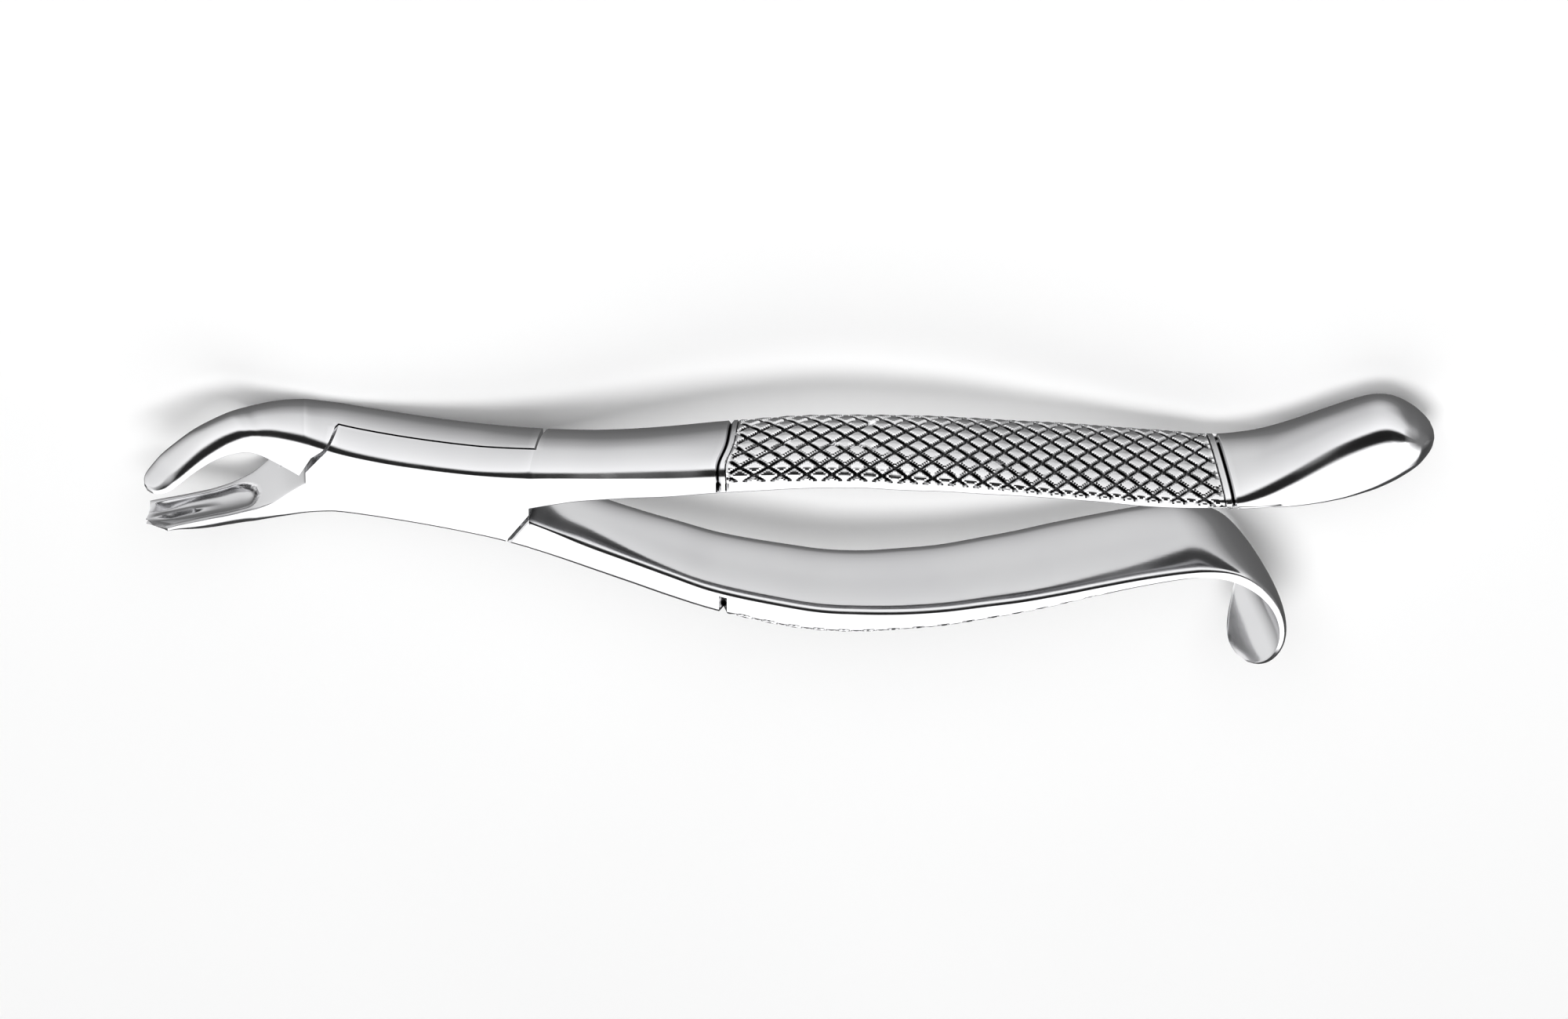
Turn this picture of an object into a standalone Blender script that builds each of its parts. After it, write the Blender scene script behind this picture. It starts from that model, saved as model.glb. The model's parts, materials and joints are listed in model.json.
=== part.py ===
"""Upper-molar extraction forceps, one solid for each real piece.

Two forged steel halves cross in a lap joint and turn on one shoulder screw. Lengths in the tables are
millimetres in the joint's own frame: the pivot axis is Z through the origin, the lap faces meet just
above z = 0, the beaks lie at -X, the handles at +X, and the handles spread along Y. An empty then tips the
instrument as it lies on a table, with its box standing centred on the world origin.
"""

import math

import bmesh
import bpy
import numpy as np
from mathutils import Matrix, Vector

MM = 0.001

# Side view, the same for both halves: straight through the joint, one bend towards each end.
BEAK_BEND_START, BEAK_BEND_RADIUS, BEAK_BEND_ANGLE = 10.5, 21.0, math.radians(39.0)
HANDLE_BEND_START, HANDLE_BEND_RADIUS, HANDLE_BEND_ANGLE = 25.0, 184.0, math.radians(17.2)

# Lap joint. A half crosses over between its throat and its crotch.
JOINT_WIDTH = 9.8
LAP_GAP = 0.3
SHOULDER_GAP = 0.4
THROAT_S, CROTCH_S = -15.55, 17.15
THROAT_Y = -0.7
CROTCH_Y = -0.15
UPPER_SHOULDER_LEAN = 0.62
LOWER_SHOULDER_LEAN = 0.52
LAP_Z = 0.45
POCKET_RADIUS = 19.6

# Shoulder screw, its head in the rear half and its thread in the front half.
SCREW_HEAD_RADIUS, SCREW_HEAD_DEPTH = 3.3, 1.3
SCREW_SHANK_RADIUS = 2.4
SCREW_THREAD_RADIUS, SCREW_THREAD_LENGTH = 1.8, 2.2
SCREW_SLOT_WIDTH, SCREW_SLOT_DEPTH = 0.8, 0.6
SCREW_CLEARANCE = 0.2
SCREW_SIDES = 40

# Finger hook, a curl of the rear half's handle about a slanted line.
HOOK_START, HOOK_RADIUS, HOOK_TAPER, HOOK_SLANT = 108.9, 11.5, 0.1, math.radians(14.0)

# How the instrument lies on a table, tipped about Y.
REST_TILT = math.radians(-10.35)

# Plain beak and cusp beak, tip first: s, width, inner face, outer face, crown, crown power, inner
# edge, gouge depth, ridge along the gouge.
PLAIN_BEAK = [
    (-39.2, 1.0, 2.9, 3.6, 0.4, 2.2, 0.1, 0.0, 0.0),
    (-38.8, 2.9, 3.0, 3.9, 0.5, 2.2, 0.15, 0.1, 0.0),
    (-38.0, 4.3, 3.2, 4.4, 0.8, 2.2, 0.2, 0.3, 0.0),
    (-37.0, 5.2, 3.5, 5.1, 1.2, 2.2, 0.25, 0.6, 0.0),
    (-35.5, 5.7, 4.5, 6.3, 1.4, 2.2, 0.25, 0.7, 0.0),
    (-33.0, 5.8, 5.9, 7.9, 1.7, 2.2, 0.25, 0.8, 0.0),
    (-30.6, 5.9, 6.8, 9.2, 2.1, 2.1, 0.25, 0.9, 0.0),
    (-28.2, 6.0, 7.0, 10.0, 2.6, 2.0, 0.25, 1.0, 0.0),
    (-25.6, 6.2, 6.5, 10.3, 2.9, 2.0, 0.25, 1.0, 0.0),
    (-24.0, 6.4, 5.6, 10.1, 2.8, 2.0, 0.25, 0.6, 0.0),
    (-22.6, 6.7, 4.6, 9.75, 2.6, 2.0, 0.25, 0.1, 0.0),
    (-21.0, 7.2, 3.3, 9.45, 2.6, 2.0, 0.25, 0.0, 0.0),
    (-18.7, 8.0, 1.6, 9.0, 2.5, 2.0, 0.25, 0.0, 0.0),
    (-15.6, 8.8, -0.6, 8.4, 2.3, 1.9, 0.25, 0.0, 0.0),
]
CUSP_BEAK = [
    (-37.5, 5.7, 3.6, 4.5, 0.4, 2.2, 0.2, 0.3, 0.3),
    (-36.0, 5.6, 3.9, 5.5, 1.0, 2.2, 0.25, 0.7, 0.6),
    (-33.0, 5.5, 4.7, 7.4, 1.8, 2.2, 0.25, 1.0, 0.6),
    (-30.6, 5.5, 5.3, 8.5, 2.3, 2.3, 0.25, 1.1, 0.3),
    (-28.2, 5.6, 5.9, 9.3, 2.6, 2.3, 0.25, 1.2, 0.0),
    (-25.6, 5.8, 6.3, 10.0, 2.7, 2.4, 0.25, 1.0, 0.0),
    (-24.0, 6.1, 6.4, 10.3, 2.6, 2.5, 0.25, 0.6, 0.0),
    (-22.4, 6.4, 6.1, 10.35, 2.5, 2.6, 0.25, 0.1, 0.0),
    (-21.0, 7.0, 5.4, 10.1, 2.4, 2.7, 0.25, 0.0, 0.0),
    (-18.7, 7.9, 3.5, 9.5, 2.0, 2.8, 0.25, 0.0, 0.0),
    (-15.6, 8.8, 1.1, 8.5, 1.6, 3.0, 0.25, 0.0, 0.0),
]
CUSP_REACH = 2.0

# Joint outline, the same for both halves: s, width, upper height, upper crown, lower height, lower
# crown. Upper is +Y, the palm handle's side.
JOINT = [
    (-15.5, 8.8, 8.4, 2.3, 8.5, 1.6),
    (-13.0, 9.1, 7.7, 2.0, 8.0, 1.5),
    (-9.0, 9.5, 7.15, 1.7, 7.25, 1.5),
    (-3.0, 9.8, 6.95, 1.6, 6.85, 1.5),
    (3.0, 9.8, 7.1, 1.6, 6.85, 1.5),
    (9.0, 9.8, 7.55, 1.6, 7.1, 1.5),
    (13.0, 9.8, 8.15, 1.8, 7.5, 1.6),
    (17.1, 9.8, 8.95, 2.1, 8.3, 1.8),
]
UPPER_POWER, LOWER_POWER = 1.9, 3.0

# Palm handle and hook handle: s, width, inner face, outer face, crown, crown power, inner edge,
# inner power, hollow of the inner face.
PALM_HANDLE = [
    (17.2, 9.8, 0.7, 8.95, 2.1, 1.9, 0.3, 8.0, 0.0),
    (19.8, 9.6, 1.9, 9.5, 2.0, 1.9, 0.3, 8.0, 0.0),
    (24.3, 9.5, 3.6, 10.55, 2.0, 1.9, 0.4, 8.0, 0.0),
    (30.9, 9.8, 6.0, 12.35, 2.2, 1.9, 0.5, 8.0, 0.1),
    (36.5, 10.4, 7.8, 13.85, 2.5, 2.0, 0.5, 8.0, 0.2),
    (42.4, 11.0, 9.7, 15.25, 2.6, 2.1, 0.5, 8.0, 0.2),
    (51.8, 11.6, 12.1, 16.95, 2.5, 2.2, 0.5, 8.0, 0.2),
    (57.3, 11.8, 12.9, 17.35, 2.4, 2.3, 0.5, 8.0, 0.2),
    (62.7, 11.9, 13.1, 17.4, 2.3, 2.3, 0.5, 8.0, 0.2),
    (68.1, 12.3, 12.8, 17.0, 2.2, 2.3, 0.5, 8.0, 0.2),
    (73.6, 12.5, 12.4, 16.4, 2.1, 2.3, 0.5, 8.0, 0.2),
    (79.0, 12.8, 11.6, 15.4, 2.1, 2.3, 0.5, 8.0, 0.2),
    (84.5, 13.2, 10.8, 14.0, 1.9, 2.3, 0.5, 8.0, 0.2),
    (89.9, 13.5, 9.8, 12.8, 1.8, 2.3, 0.5, 8.0, 0.2),
    (95.3, 13.5, 8.6, 11.6, 1.7, 2.3, 0.5, 8.0, 0.2),
    (100.7, 13.5, 7.2, 10.4, 1.7, 2.3, 0.5, 8.0, 0.2),
    (106.2, 13.5, 6.2, 9.3, 1.7, 2.3, 0.5, 8.0, 0.2),
    (112.4, 13.4, 5.5, 8.3, 2.1, 2.4, 0.5, 7.0, 0.1),
    (117.1, 13.2, 5.1, 9.2, 3.3, 2.5, 0.7, 5.0, 0.0),
    (121.5, 13.0, 4.9, 11.2, 5.0, 2.6, 1.1, 3.6, 0.0),
    (128.0, 12.6, 4.8, 14.95, 7.6, 2.6, 2.0, 2.8, 0.0),
    (132.4, 12.1, 5.2, 16.9, 7.9, 2.6, 3.2, 2.5, 0.0),
    (134.6, 11.6, 5.7, 17.3, 7.5, 2.5, 3.8, 2.4, 0.0),
    (136.7, 10.8, 6.7, 16.7, 6.1, 2.4, 3.7, 2.3, 0.0),
    (138.9, 9.0, 8.2, 15.1, 4.1, 2.3, 2.6, 2.2, 0.0),
    (140.2, 6.7, 9.2, 13.9, 2.6, 2.2, 1.9, 2.2, 0.0),
    (141.2, 4.0, 10.2, 12.7, 1.3, 2.2, 1.0, 2.2, 0.0),
    (141.6, 1.6, 10.9, 11.8, 0.4, 2.2, 0.4, 2.2, 0.0),
]
HOOK_HANDLE = [
    (17.2, 9.8, 1.4, 8.35, 1.8, 3.0, 0.3, 8.0, 0.0),
    (19.8, 9.6, 2.4, 9.15, 1.9, 2.9, 0.3, 8.0, 0.0),
    (24.3, 9.5, 4.0, 10.55, 2.1, 2.8, 0.4, 8.0, 0.0),
    (30.9, 9.8, 6.0, 12.5, 2.3, 2.7, 0.5, 8.0, 0.1),
    (36.5, 10.4, 7.7, 14.2, 2.4, 2.6, 0.5, 8.0, 0.2),
    (42.4, 11.0, 9.6, 15.75, 2.3, 2.6, 0.5, 8.0, 0.2),
    (51.8, 11.6, 11.4, 17.9, 2.3, 2.5, 0.5, 8.0, 0.2),
    (57.3, 11.8, 12.3, 18.5, 2.2, 2.5, 0.5, 8.0, 0.2),
    (62.7, 11.9, 12.5, 18.5, 2.1, 2.5, 0.5, 8.0, 0.2),
    (68.1, 12.3, 12.3, 17.8, 2.0, 2.5, 0.5, 8.0, 0.2),
    (73.6, 12.5, 11.9, 17.1, 1.9, 2.5, 0.5, 8.0, 0.2),
    (79.0, 12.8, 11.1, 16.0, 1.9, 2.5, 0.5, 8.0, 0.2),
    (84.5, 13.2, 10.3, 14.7, 1.7, 2.5, 0.5, 8.0, 0.2),
    (89.9, 13.5, 9.2, 13.2, 1.6, 2.5, 0.5, 8.0, 0.2),
    (95.3, 13.5, 8.1, 11.6, 1.4, 2.5, 0.5, 8.0, 0.2),
    (100.7, 13.5, 7.1, 10.15, 1.1, 2.5, 0.5, 8.0, 0.2),
    (106.2, 13.5, 6.4, 9.0, 0.8, 2.5, 0.5, 6.0, 0.1),
    (110.5, 13.5, 6.2, 8.5, 0.4, 2.3, 0.7, 4.5, 0.0),
    (114.5, 13.5, 6.2, 8.2, 0.0, 2.0, 1.2, 3.2, 0.0),
    (118.9, 13.5, 6.2, 8.1, -0.2, 2.0, 1.5, 2.5, 0.0),
    (123.8, 13.4, 6.2, 8.0, -0.3, 2.0, 1.7, 2.3, 0.0),
    (128.5, 12.9, 6.2, 8.0, -0.3, 2.0, 1.7, 2.3, 0.0),
    (131.6, 12.0, 6.2, 8.0, -0.3, 2.0, 1.6, 2.3, 0.0),
    (134.3, 10.4, 6.2, 7.95, -0.25, 2.0, 1.5, 2.3, 0.0),
    (136.7, 7.9, 6.25, 7.85, -0.2, 2.0, 1.3, 2.3, 0.0),
    (138.2, 4.8, 6.4, 7.8, -0.1, 2.0, 1.0, 2.3, 0.0),
    (138.8, 1.8, 6.7, 7.65, -0.05, 2.0, 0.5, 2.3, 0.0),
]

# Spread of the section's points, edge to middle.
SPREAD = (1.0, 0.96, 0.86, 0.66, 0.36, 0.0)
STATION_STEP = 2.4


def centre_line(s):
    """(x, z, angle) of the side view at distance s from the pivot, positive along the handles."""
    if s < -BEAK_BEND_START:
        start, radius, angle, way = BEAK_BEND_START, BEAK_BEND_RADIUS, BEAK_BEND_ANGLE, -1
    elif s > HANDLE_BEND_START:
        start, radius, angle, way = HANDLE_BEND_START, HANDLE_BEND_RADIUS, HANDLE_BEND_ANGLE, 1
    else:
        return s, 0.0, 0.0
    turned = min((abs(s) - start) / radius, angle)
    beyond = abs(s) - start - turned * radius
    x = start + radius * math.sin(turned) + beyond * math.cos(turned)
    z = radius * (1 - math.cos(turned)) + beyond * math.sin(turned)
    return way * x, -way * z, turned


def table_at(table, s):
    """Row of the table at s, by a smooth curve through its rows."""
    at = np.array([row[0] for row in table])
    rows = np.array([row[1:] for row in table], float)
    i = int(np.clip(np.searchsorted(at, s) - 1, 0, len(table) - 2))

    def slope(j):
        lo, hi = max(j - 1, 0), min(j + 1, len(table) - 1)
        return (rows[hi] - rows[lo]) / (at[hi] - at[lo])

    span = at[i + 1] - at[i]
    t = min(max((s - at[i]) / span, 0.0), 1.0)
    return (
        rows[i] * (1 + 2 * t) * (1 - t) ** 2
        + slope(i) * span * t * (1 - t) ** 2
        + rows[i + 1] * t * t * (3 - 2 * t)
        + slope(i + 1) * span * t * t * (t - 1)
    )


def stations(table):
    """Every row's place and even steps between them."""
    found = []
    for (lo, *_), (hi, *_) in zip(table, table[1:]):
        count = max(1, round((hi - lo) / STATION_STEP))
        found += [lo + (hi - lo) * k / count for k in range(count)]
    return found + [table[-1][0]]


def arch(width, level, rise, power, gouge=0.0, ridge=0.0):
    """One side of a section, from +width/2 to -width/2: (b, q) rising from level, with a gouge."""
    fractions = list(SPREAD) + [-f for f in SPREAD[-2::-1]]
    side = []
    for f in fractions:
        q = level + rise * (1 - abs(f) ** power) ** (1 / power)
        sunk = max(0.0, 1 - (abs(f) / 0.74) ** 2.2)
        q -= math.copysign(gouge * sunk - ridge * max(0.0, 1 - abs(f) / 0.36), rise)
        side.append((width / 2 * f, q))
    return side


def section(beak_side, other_side):
    """Closed section: over the beak's side and back along the other."""
    return beak_side + other_side[::-1]


def place(sign, s, b, q):
    """A section's point in the joint's frame; q counts towards the half's own beak."""
    x, z, turned = centre_line(s)
    return Vector((x + b * math.sin(turned), sign * q, z + b * math.cos(turned)))


def hook_place(sign, s, b, q):
    """The same, curled outwards past the start of the finger hook."""
    inner_face = -6.2
    along = (s - HOOK_START) * math.cos(HOOK_SLANT) - b * math.sin(HOOK_SLANT)
    along += 6.75 * math.sin(HOOK_SLANT)
    if along <= 0:
        return place(sign, s, b, q)
    across = (s - HOOK_START) * math.sin(HOOK_SLANT) + b * math.cos(HOOK_SLANT)
    radius = HOOK_RADIUS + HOOK_TAPER * across
    turned = along / radius
    arm = radius - (inner_face - q)
    flat = arm * math.sin(turned) - 6.75 * math.sin(HOOK_SLANT)
    new_s = HOOK_START + flat * math.cos(HOOK_SLANT) + across * math.sin(HOOK_SLANT)
    new_b = across * math.cos(HOOK_SLANT) - flat * math.sin(HOOK_SLANT)
    return place(sign, new_s, new_b, inner_face - radius + arm * math.cos(turned))


def half_rings(sign, beak, handle, curled, cusp_reach):
    """Rings of points for one half, from the beak's tip to the handle's end."""
    rings = []
    for s in stations(beak):
        width, inner, outer, crown, power, edge, gouge, ridge = table_at(beak, s)
        ring = section(
            arch(width, outer - crown, crown, power),
            arch(width, inner + edge, -edge, 8.0, gouge, ridge),
        )
        near_tip = max(0.0, 1 - (s - beak[0][0]) / 5.0)
        shifts = [cusp_reach * near_tip * (1 - abs(b) / (width / 2)) ** 1.5 for b, _ in ring]
        rings.append([place(sign, s - d, b, q) for d, (b, q) in zip(shifts, ring)])
    for s in stations(JOINT):
        width, *sides = table_at(JOINT, s)
        upper, lower = (*sides[:2], UPPER_POWER), (*sides[2:], LOWER_POWER)
        (h1, c1, p1), (h2, c2, p2) = (upper, lower) if sign > 0 else (lower, upper)
        ring = section(arch(width, h1 - c1, c1, p1), arch(width, c2 - h2, -c2, p2))
        rings.append([place(sign, s, b, q) for b, q in ring])
    for s in stations(handle):
        width, inner, outer, crown, power, edge, inner_power, hollow = table_at(handle, s)
        ring = section(
            arch(width, -inner - edge, edge, inner_power, hollow),
            arch(width, crown - outer, -crown, power),
        )
        where = hook_place if curled else place
        rings.append([where(sign, s, b, q) for b, q in ring])
    return rings


# ---------------------------------------------------------------- Blender objects
def new_collection(name):
    collection = bpy.data.collections.new(name)
    bpy.context.scene.collection.children.link(collection)
    return collection


def mesh_object(name, collection, vertices, faces):
    mesh = bpy.data.meshes.new(name)
    mesh.from_pydata([v * MM for v in vertices], [], faces)
    bm = bmesh.new()
    bm.from_mesh(mesh)
    bmesh.ops.recalc_face_normals(bm, faces=bm.faces)
    bm.to_mesh(mesh)
    bm.free()
    obj = bpy.data.objects.new(name, mesh)
    collection.objects.link(obj)
    return obj


def loft(name, collection, rings):
    size = len(rings[0])
    vertices = [v for ring in rings for v in ring]
    faces = [list(range(size)), list(range(len(vertices) - size, len(vertices)))]
    for r in range(len(rings) - 1):
        for i in range(size):
            j = (i + 1) % size
            faces.append((r * size + i, r * size + j, (r + 1) * size + j, (r + 1) * size + i))
    return mesh_object(name, collection, vertices, faces)


def prism(name, collection, outline, z0, z1):
    size = len(outline)
    vertices = [Vector((x, y, z)) for z in (z0, z1) for x, y in outline]
    faces = [list(range(size)), list(range(size, 2 * size))]
    faces += [(i, (i + 1) % size, size + (i + 1) % size, size + i) for i in range(size)]
    return mesh_object(name, collection, vertices, faces)


def disc(radius, sides):
    turns = [2 * math.pi * i / sides for i in range(sides)]
    return [(radius * math.cos(t), radius * math.sin(t)) for t in turns]


def cut(target, cutter):
    modifier = target.modifiers.new("cut_" + cutter.name, "BOOLEAN")
    modifier.operation = "DIFFERENCE"
    modifier.solver = "EXACT"
    modifier.object = cutter
    cutter.hide_render = True
    cutter.display_type = "WIRE"


def steel(name, colour, roughness):
    material = bpy.data.materials.new(name)
    material.use_nodes = True
    shader = material.node_tree.nodes["Principled BSDF"]
    shader.inputs["Base Color"].default_value = (*colour, 1.0)
    shader.inputs["Metallic"].default_value = 1.0
    shader.inputs["Roughness"].default_value = roughness
    return material


def shoulder_line(lean, at, gap):
    """Two ends of a slanted shoulder through a point, moved by gap away from the pivot."""
    (x0, y0), reach = at, 14.0
    towards = 1 if x0 < 0 else -1
    along = Vector((lean * towards, towards)).normalized()
    off = Vector((-along.y, along.x)) * gap
    start = Vector((x0, y0)) + off
    return start, start + along * reach


for leftover in list(bpy.data.objects):
    bpy.data.objects.remove(leftover, do_unlink=True)

parts = new_collection("extraction_forceps")
cutters = new_collection("cutters")

root = bpy.data.objects.new("forceps_rest_pose", None)
parts.objects.link(root)

front_half = loft("front_half", parts, half_rings(-1, CUSP_BEAK, PALM_HANDLE, False, CUSP_REACH))
rear_half = loft("rear_half", parts, half_rings(1, PLAIN_BEAK, HOOK_HANDLE, True, 0.0))

# Laps: the front half keeps the layer above the lap plane, the rear half the layer below it.
throat, throat_top = shoulder_line(UPPER_SHOULDER_LEAN, (THROAT_S, THROAT_Y), 0.0)
throat_off, throat_top_off = shoulder_line(UPPER_SHOULDER_LEAN, (THROAT_S, THROAT_Y), SHOULDER_GAP)
crotch, crotch_low = shoulder_line(LOWER_SHOULDER_LEAN, (CROTCH_S, CROTCH_Y), 0.0)
crotch_off, crotch_low_off = shoulder_line(LOWER_SHOULDER_LEAN, (CROTCH_S, CROTCH_Y), SHOULDER_GAP)
TOP, LEFT, RIGHT = 13.0, THROAT_S - 1.2, CROTCH_S + 1.4

cut(front_half, prism("front_lap_floor", cutters, disc(POCKET_RADIUS, 96), -9.0, LAP_Z + LAP_GAP / 2))
cut(
    front_half,
    prism(
        "front_upper_shoulder",
        cutters,
        [throat, throat_top, (LEFT, throat_top.y), (LEFT, throat.y)],
        -1.0,
        11.0,
    ),
)
cut(
    front_half,
    prism(
        "front_lower_shoulder",
        cutters,
        [crotch, crotch_low, (RIGHT, crotch_low.y), (RIGHT, crotch.y)],
        -1.0,
        11.0,
    ),
)
cut(
    rear_half,
    prism(
        "rear_lap_floor",
        cutters,
        [
            throat_off,
            (LEFT, throat_off.y),
            (LEFT, -TOP),
            (crotch_low_off.x, -TOP),
            crotch_low_off,
            crotch_off,
            (RIGHT, crotch_off.y),
            (RIGHT, TOP),
            (throat_top_off.x, TOP),
            throat_top_off,
        ],
        LAP_Z - LAP_GAP / 2,
        11.0,
    ),
)

# Shoulder screw and its holes.
head_z = -JOINT_WIDTH / 2
thread_z = LAP_Z + LAP_GAP / 2
screw = prism("pivot_screw", parts, disc(SCREW_SHANK_RADIUS, SCREW_SIDES), head_z, thread_z)


def turned_mesh(obj, profile):
    """Replace the object's mesh by the profile (radius, z) turned about Z."""
    bm = bmesh.new()
    loops = [
        [bm.verts.new(Vector((x, y, z)) * MM) for x, y in disc(r, SCREW_SIDES)] for r, z in profile
    ]
    bm.faces.new(loops[0])
    bm.faces.new(loops[-1])
    for lower, upper in zip(loops, loops[1:]):
        for i in range(SCREW_SIDES):
            j = (i + 1) % SCREW_SIDES
            bm.faces.new((lower[i], lower[j], upper[j], upper[i]))
    bmesh.ops.recalc_face_normals(bm, faces=bm.faces)
    bm.to_mesh(obj.data)
    bm.free()


turned_mesh(
    screw,
    [
        (SCREW_HEAD_RADIUS - 0.25, head_z),
        (SCREW_HEAD_RADIUS, head_z + 0.25),
        (SCREW_HEAD_RADIUS, head_z + SCREW_HEAD_DEPTH),
        (SCREW_SHANK_RADIUS, head_z + SCREW_HEAD_DEPTH),
        (SCREW_SHANK_RADIUS, thread_z - SCREW_CLEARANCE),
        (SCREW_THREAD_RADIUS, thread_z - SCREW_CLEARANCE),
        (SCREW_THREAD_RADIUS, thread_z + SCREW_THREAD_LENGTH - 0.3),
        (SCREW_THREAD_RADIUS - 0.3, thread_z + SCREW_THREAD_LENGTH),
    ],
)
slot = [(-5.0, -1.0), (5.0, -1.0), (5.0, 1.0), (-5.0, 1.0)]
slot = [(x, y * SCREW_SLOT_WIDTH / 2) for x, y in slot]
cut(screw, prism("screw_slot", cutters, slot, head_z - 1.0, head_z + SCREW_SLOT_DEPTH))

head_hole = disc(SCREW_HEAD_RADIUS + SCREW_CLEARANCE, SCREW_SIDES)
shank_hole = disc(SCREW_SHANK_RADIUS + SCREW_CLEARANCE, SCREW_SIDES)
thread_hole = disc(SCREW_THREAD_RADIUS + SCREW_CLEARANCE, SCREW_SIDES)
seat_z = head_z + SCREW_HEAD_DEPTH + SCREW_CLEARANCE
cut(rear_half, prism("head_hole", cutters, head_hole, -9.0, seat_z))
cut(rear_half, prism("shank_hole", cutters, shank_hole, -9.0, 1.0))
blind_end = thread_z + SCREW_THREAD_LENGTH + SCREW_CLEARANCE
cut(front_half, prism("thread_hole", cutters, thread_hole, -1.0, blind_end))

# Rest pose: tipped, then moved so that the box stands centred on the origin.
tilt = Matrix.Rotation(REST_TILT, 4, "Y")
turned_points = [tilt @ v.co for half in (front_half, rear_half) for v in half.data.vertices]
low = Vector(min(p[i] for p in turned_points) for i in range(3))
high = Vector(max(p[i] for p in turned_points) for i in range(3))
root.rotation_euler = (0.0, REST_TILT, 0.0)
root.location = (-(low.x + high.x) / 2, -(low.y + high.y) / 2, -low.z)

for piece in (front_half, rear_half, screw, *cutters.objects):
    piece.parent = root
front_half.data.materials.append(steel("polished_steel_front", (0.74, 0.75, 0.76), 0.16))
rear_half.data.materials.append(steel("polished_steel_rear", (0.74, 0.75, 0.76), 0.17))
screw.data.materials.append(steel("screw_steel", (0.62, 0.63, 0.65), 0.25))
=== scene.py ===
"""Looks of the extraction forceps: two polished steel halves with knurled grips and their pivot screw.

The halves are lofted in the joint's own frame, in millimetres: the pivot axis is Z through the origin, the
beaks lie at -X and the handles at +X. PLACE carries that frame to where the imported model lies.

A half is a row of rings. Each ring lies at a distance s from the pivot along the centre line, negative on
the beak. Its points are (b, q): b across the width, and q positive on the side where the half's beak lies,
negative on the side of its handle.
"""

import json
import math

import bmesh
import bpy
import numpy as np
from mathutils import Matrix, Vector


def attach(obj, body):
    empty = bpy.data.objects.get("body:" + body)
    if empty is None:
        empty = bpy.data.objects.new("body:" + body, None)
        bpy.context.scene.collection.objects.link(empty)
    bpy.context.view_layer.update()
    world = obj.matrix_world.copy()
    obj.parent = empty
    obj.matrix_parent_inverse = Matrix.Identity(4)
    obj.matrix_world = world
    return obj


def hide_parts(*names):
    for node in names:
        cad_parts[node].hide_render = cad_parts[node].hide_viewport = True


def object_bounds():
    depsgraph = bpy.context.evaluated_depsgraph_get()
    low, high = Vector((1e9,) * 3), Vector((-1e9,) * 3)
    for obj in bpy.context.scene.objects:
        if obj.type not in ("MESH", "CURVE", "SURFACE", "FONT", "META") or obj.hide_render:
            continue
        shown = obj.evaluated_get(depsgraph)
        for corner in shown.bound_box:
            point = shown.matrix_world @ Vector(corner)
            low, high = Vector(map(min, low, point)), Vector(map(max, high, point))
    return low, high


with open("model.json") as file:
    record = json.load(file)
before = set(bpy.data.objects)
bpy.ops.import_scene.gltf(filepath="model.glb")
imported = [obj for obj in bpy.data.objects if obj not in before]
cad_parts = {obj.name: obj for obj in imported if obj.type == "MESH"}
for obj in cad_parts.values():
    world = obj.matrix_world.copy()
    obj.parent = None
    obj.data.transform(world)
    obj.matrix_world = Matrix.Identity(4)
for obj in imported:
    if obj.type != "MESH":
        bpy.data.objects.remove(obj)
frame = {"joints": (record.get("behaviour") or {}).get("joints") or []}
cad_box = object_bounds()

# ---------------------------------------------------------------- driving dimensions, millimetres
MM = 0.001
BEAK_BEND_START, BEAK_BEND_RADIUS, BEAK_BEND_ANGLE = 10.5, 21.0, math.radians(39.0)
HANDLE_BEND_START, HANDLE_BEND_RADIUS, HANDLE_BEND_ANGLE = 25.0, 184.0, math.radians(17.2)

JOINT_WIDTH = 9.8
LAP_Z, LAP_GAP, POCKET_RADIUS = 0.45, 0.3, 19.6
THROAT_S, THROAT_Y, UPPER_SHOULDER_LEAN = -15.55, -0.7, 0.62
CROTCH_S, CROTCH_Y, LOWER_SHOULDER_LEAN = 17.15, -0.15, 0.52
SHOULDER_GAP, SHOULDER_REACH = 0.4, 14.0
CROTCH_BEVEL, BEVEL_SPARE = 0.35, 0.6
# The wedge by which the upper shoulder stands back: its depth and its cutter's overlap, and where along the
# shoulder it starts, is deepest and ends.
RELIEF_DEPTH, RELIEF_SPARE = 0.6, 0.15
RELIEF_START, RELIEF_DEEPEST, RELIEF_END = -0.4, 5.2, 9.0

SCREW_HEAD_RADIUS, SCREW_HEAD_DEPTH = 3.3, 1.3
# Rounding of the head, from its face on: steps in from its radius, and z from the far cheek.
SCREW_HEAD_CROWN = [(0.9, -0.05), (0.45, -0.02), (0.18, 0.05), (0.04, 0.18), (0.0, 0.34)]
SCREW_SHANK_RADIUS = 2.4
SCREW_THREAD_RADIUS, SCREW_THREAD_LENGTH, SCREW_END_CHAMFER = 1.8, 2.2, 0.3
SCREW_SLOT_LENGTH, SCREW_SLOT_WIDTH, SCREW_SLOT_DEPTH = 10.0, 0.8, 0.6
SCREW_CLEARANCE = 0.2
HEAD_Z, THREAD_Z = -JOINT_WIDTH / 2, LAP_Z + LAP_GAP / 2

# Cutters: z under and over the halves, how far they run past the lap, and how far out they reach in the
# plane of the lap.
CUT_UNDER, CUT_OVER, CUT_PAST_LAP = -9.0, 11.0, 1.0
CUT_SIDE, CUT_LEFT, CUT_RIGHT = 13.0, THROAT_S - 1.2, CROTCH_S + 1.4

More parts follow.
